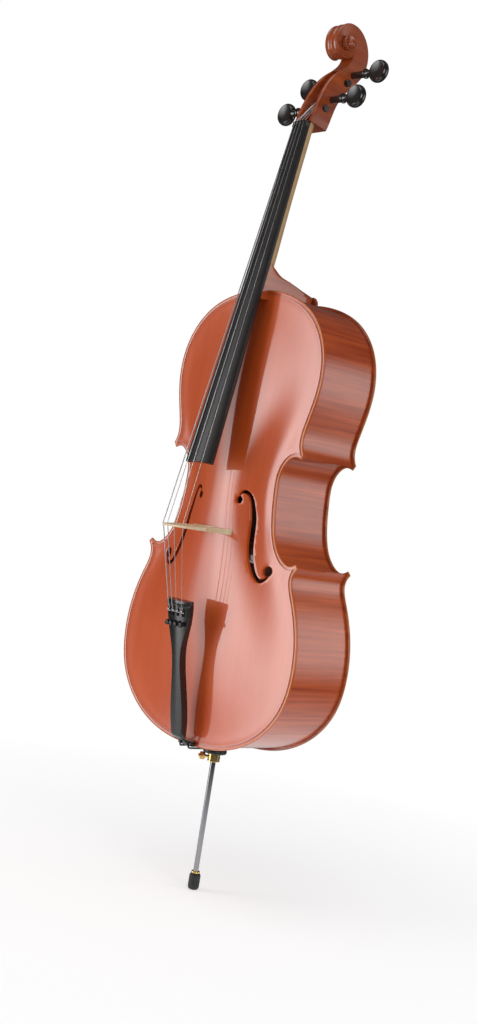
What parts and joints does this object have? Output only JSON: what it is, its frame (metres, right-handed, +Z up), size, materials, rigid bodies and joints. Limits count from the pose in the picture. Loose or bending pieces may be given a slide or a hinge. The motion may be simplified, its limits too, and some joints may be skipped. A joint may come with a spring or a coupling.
{
  "type": "cello",
  "caption": "Full-size cello: arched body with sound holes, carved neck and scroll, turning pegs, fine tuners, bridge, strings and sliding endpin.",
  "frame": {"origin": "underside of the rubber foot of the drawn-out endpin, on the endpin's axis", "axes": "+Z up along the body and the strings' side view, +X towards the treble side, +Y towards the back"},
  "size_m": [0.4241, 0.2594, 1.4798],
  "materials": {
    "spruce_top": "orange-red clear gloss varnish over spruce",
    "maple_back": "orange-brown clear gloss varnish over flamed maple",
    "maple_ribs": "orange-brown clear gloss varnish over flamed maple",
    "purfling": "dark inlay",
    "inner_wood": "bare spruce",
    "neck_maple": "varnished maple, bare on the shaft",
    "bridge_maple": "bare maple",
    "ebony": "satin black",
    "tailpiece_black": "satin black",
    "string_steel": "flat-wound",
    "tuner_steel": "polished",
    "tuner_black": "black",
    "brass": "polished",
    "endpin_steel": "polished",
    "rubber": "matt",
    "nylon_cord": "black"
  },
  "bodies": {
    "cello": {"back_linings": "inner_wood", "back_plate": "maple_back", "back_purfling": "purfling", "bass_bar": "inner_wood", "bottom_block": "inner_wood", "bridge": "bridge_maple", "endpin_collar": "brass", "endpin_plug": "ebony", "fingerboard": "ebony", "lower_corner_block_bass": "inner_wood", "lower_corner_block_treble": "inner_wood", "lower_rib_bass": "maple_ribs", "lower_rib_treble": "maple_ribs", "neck_scroll": "neck_maple", "nut": "ebony", "saddle": "ebony", "soundpost": "inner_wood", "string_a": "string_steel", "string_c": "string_steel", "string_d": "string_steel", "string_g": "string_steel", "tail_cord": "nylon_cord", "tailpiece": "tailpiece_black", "top_block": "inner_wood", "top_linings": "inner_wood", "top_plate": "spruce_top", "top_purfling": "purfling", "tuner_pivot": "tuner_steel", "upper_corner_block_bass": "inner_wood", "upper_corner_block_treble": "inner_wood", "upper_rib_bass": "maple_ribs", "upper_rib_treble": "maple_ribs", "waist_rib_bass": "maple_ribs", "waist_rib_treble": "maple_ribs"},
    "peg_c_body": {"peg_c": "ebony", "winding_c": "string_steel"},
    "peg_g_body": {"peg_g": "ebony", "winding_g": "string_steel"},
    "peg_d_body": {"peg_d": "ebony", "winding_d": "string_steel"},
    "peg_a_body": {"peg_a": "ebony", "winding_a": "string_steel"},
    "lever_c_body": {"tuner_lever_c": "tuner_steel"},
    "lever_g_body": {"tuner_lever_g": "tuner_steel"},
    "lever_d_body": {"tuner_lever_d": "tuner_steel"},
    "lever_a_body": {"tuner_lever_a": "tuner_steel"},
    "tuner_c_body": {"tuner_screw_c": "tuner_black"},
    "tuner_g_body": {"tuner_screw_g": "tuner_black"},
    "tuner_d_body": {"tuner_screw_d": "tuner_black"},
    "tuner_a_body": {"tuner_screw_a": "tuner_black"},
    "endpin": {"endpin_rod": "endpin_steel"},
    "endpin_foot_body": {"rubber_tip": "rubber", "tip_ring": "brass"},
    "thumbscrew": {"thumbscrew_stud": "brass"},
    "thumbscrew_grip": {"thumbscrew_knob": "brass"}
  },
  "joints": [
    {"name": "peg_c_turn", "type": "hinge", "parent": "cello", "child": "peg_c_body", "pos_m": [0, -0.0005, 1.3165], "axis": [1, 0, 0], "continuous": true},
    {"name": "peg_g_turn", "type": "hinge", "parent": "cello", "child": "peg_g_body", "pos_m": [0, 0.0425, 1.3735], "axis": [1, 0, 0], "continuous": true},
    {"name": "peg_d_turn", "type": "hinge", "parent": "cello", "child": "peg_d_body", "pos_m": [0, 0.056, 1.391], "axis": [1, 0, 0], "continuous": true},
    {"name": "peg_a_turn", "type": "hinge", "parent": "cello", "child": "peg_a_body", "pos_m": [0, 0.013, 1.335], "axis": [1, 0, 0], "continuous": true},
    {"name": "tuner_c_turn", "type": "hinge", "parent": "cello", "child": "tuner_c_body", "pos_m": [-0.0165, -0.12452, 0.44076], "axis": [0, -0.9804, -0.197], "range_deg": [0, 1080]},
    {"name": "lever_c_tilt", "type": "hinge", "parent": "cello", "child": "lever_c_body", "pos_m": [-0.0165, -0.1212, 0.45978], "axis": [1, 0, 0], "range_deg": [0, 8]},
    {"name": "tuner_g_turn", "type": "hinge", "parent": "cello", "child": "tuner_g_body", "pos_m": [-0.0055, -0.12452, 0.44076], "axis": [0, -0.9804, -0.197], "range_deg": [0, 1080]},
    {"name": "lever_g_tilt", "type": "hinge", "parent": "cello", "child": "lever_g_body", "pos_m": [-0.0055, -0.1212, 0.45978], "axis": [1, 0, 0], "range_deg": [0, 8]},
    {"name": "tuner_d_turn", "type": "hinge", "parent": "cello", "child": "tuner_d_body", "pos_m": [0.0055, -0.12452, 0.44076], "axis": [0, -0.9804, -0.197], "range_deg": [0, 1080]},
    {"name": "lever_d_tilt", "type": "hinge", "parent": "cello", "child": "lever_d_body", "pos_m": [0.0055, -0.1212, 0.45978], "axis": [1, 0, 0], "range_deg": [0, 8]},
    {"name": "tuner_a_turn", "type": "hinge", "parent": "cello", "child": "tuner_a_body", "pos_m": [0.0165, -0.12452, 0.44076], "axis": [0, -0.9804, -0.197], "range_deg": [0, 1080]},
    {"name": "lever_a_tilt", "type": "hinge", "parent": "cello", "child": "lever_a_body", "pos_m": [0.0165, -0.1212, 0.45978], "axis": [1, 0, 0], "range_deg": [0, 8]},
    {"name": "endpin_slide", "type": "slide", "parent": "cello", "child": "endpin", "axis": [0, 0, 1], "range_m": [-0.15, 0.18]},
    {"name": "foot_pull", "type": "slide", "parent": "endpin", "child": "endpin_foot_body", "axis": [0, 0, -1], "range_m": [0, 0.017]},
    {"name": "thumbscrew_back_off", "type": "slide", "parent": "cello", "child": "thumbscrew", "axis": [-0.7071, -0.7071, 0], "range_m": [0, 0.003]},
    {"name": "thumbscrew_turn", "type": "hinge", "parent": "thumbscrew", "child": "thumbscrew_grip", "pos_m": [-0.01414, -0.01414, 0.222], "axis": [-0.7071, -0.7071, 0], "range_deg": [0, 1080]}
  ],
  "couplings": [
    {"joint": "lever_c_tilt", "follows": "tuner_c_turn", "ratio": 0.0074074},
    {"joint": "lever_g_tilt", "follows": "tuner_g_turn", "ratio": 0.0074074},
    {"joint": "lever_d_tilt", "follows": "tuner_d_turn", "ratio": 0.0074074},
    {"joint": "lever_a_tilt", "follows": "tuner_a_turn", "ratio": 0.0074074},
    {"joint": "thumbscrew_back_off", "follows": "thumbscrew_turn", "m_per_rad": 0.00015914}
  ]
}
